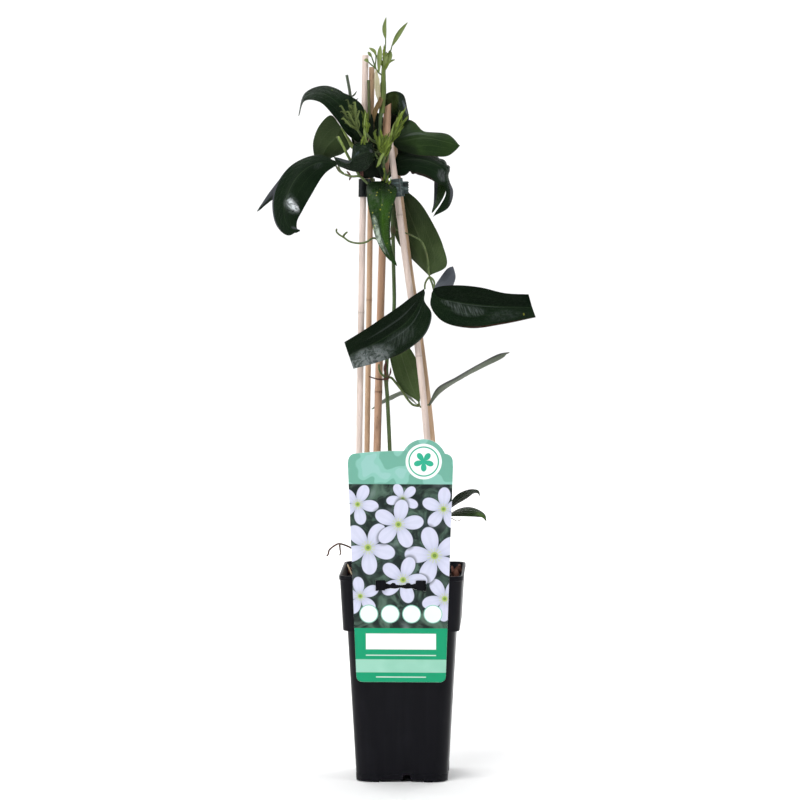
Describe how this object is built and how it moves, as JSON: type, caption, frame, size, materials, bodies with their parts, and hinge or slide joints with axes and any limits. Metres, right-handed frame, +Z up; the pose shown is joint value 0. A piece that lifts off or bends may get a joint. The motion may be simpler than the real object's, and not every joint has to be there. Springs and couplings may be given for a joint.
{
  "type": "clematis plant on canes",
  "caption": "Young evergreen climber with long leathery leaves, tied up a wigwam of canes in a tall square nursery pot with a hanging plant tag",
  "frame": {"origin": "the middle of the pot's underside, on the level of the feet that it stands on", "axes": "+Z is up, along the canes; -Y is the front, where the tag hangs; +X is to the right seen from the front"},
  "size_m": [0.2496, 0.1214, 0.6821],
  "materials": {
    "pot_plastic": "satin, moulded",
    "potting_soil": "rough, crumbly bark compost",
    "pale_cane": "smooth pale bamboo",
    "tan_cane": "smooth tan bamboo",
    "brown_cane": "mottled brown bamboo",
    "grip_plastic": "satin",
    "tag_plastic": "glossy printed card",
    "green_stem": "smooth green stem",
    "leaf": "waxy, glossy",
    "bright_leaf": "waxy, glossy",
    "young_growth": "downy, satin",
    "dry_wood": "dry, dull"
  },
  "bodies": {
    "root": {"pot": "pot_plastic", "soil": "potting_soil", "cane_front_left": "pale_cane", "cane_back_left": "tan_cane", "cane_centre": "brown_cane", "cane_front_right": "pale_cane", "cane_back_right": "tan_cane", "cane_grip": "grip_plastic", "hanging_tag": "tag_plastic", "main_stem": "green_stem", "low_shoot": "green_stem", "top_shoot": "young_growth", "crown_leaf_left_top": "leaf", "crown_leaf_left_mid": "leaf", "crown_leaf_left_low": "leaf", "crown_leaf_left_far": "leaf", "crown_leaf_centre": "leaf", "crown_leaf_right_top": "leaf", "crown_leaf_right_mid": "leaf", "crown_leaf_right_low": "leaf", "crown_leaf_right_inner": "leaf", "crown_leaf_front": "bright_leaf", "upper_leaf_back": "leaf", "upper_leaf_front": "leaf", "upper_leaf_right": "leaf", "upper_leaf_small": "leaf", "crown_leaf_back_upper": "leaf", "crown_leaf_back_lower": "leaf", "lower_leaf_back": "leaf", "lower_leaf_right": "leaf", "lower_leaf_left": "leaf", "low_leaf_upper": "leaf", "low_leaf_lower": "leaf", "bract_fan_left": "young_growth", "bract_fan_front": "young_growth", "bract_fan_right": "young_growth", "bract_fan_centre": "young_growth", "cut_shoot": "green_stem", "cut_stem": "dry_wood", "dead_twig": "dry_wood", "dry_tendril": "dry_wood"}
  },
  "joints": []
}
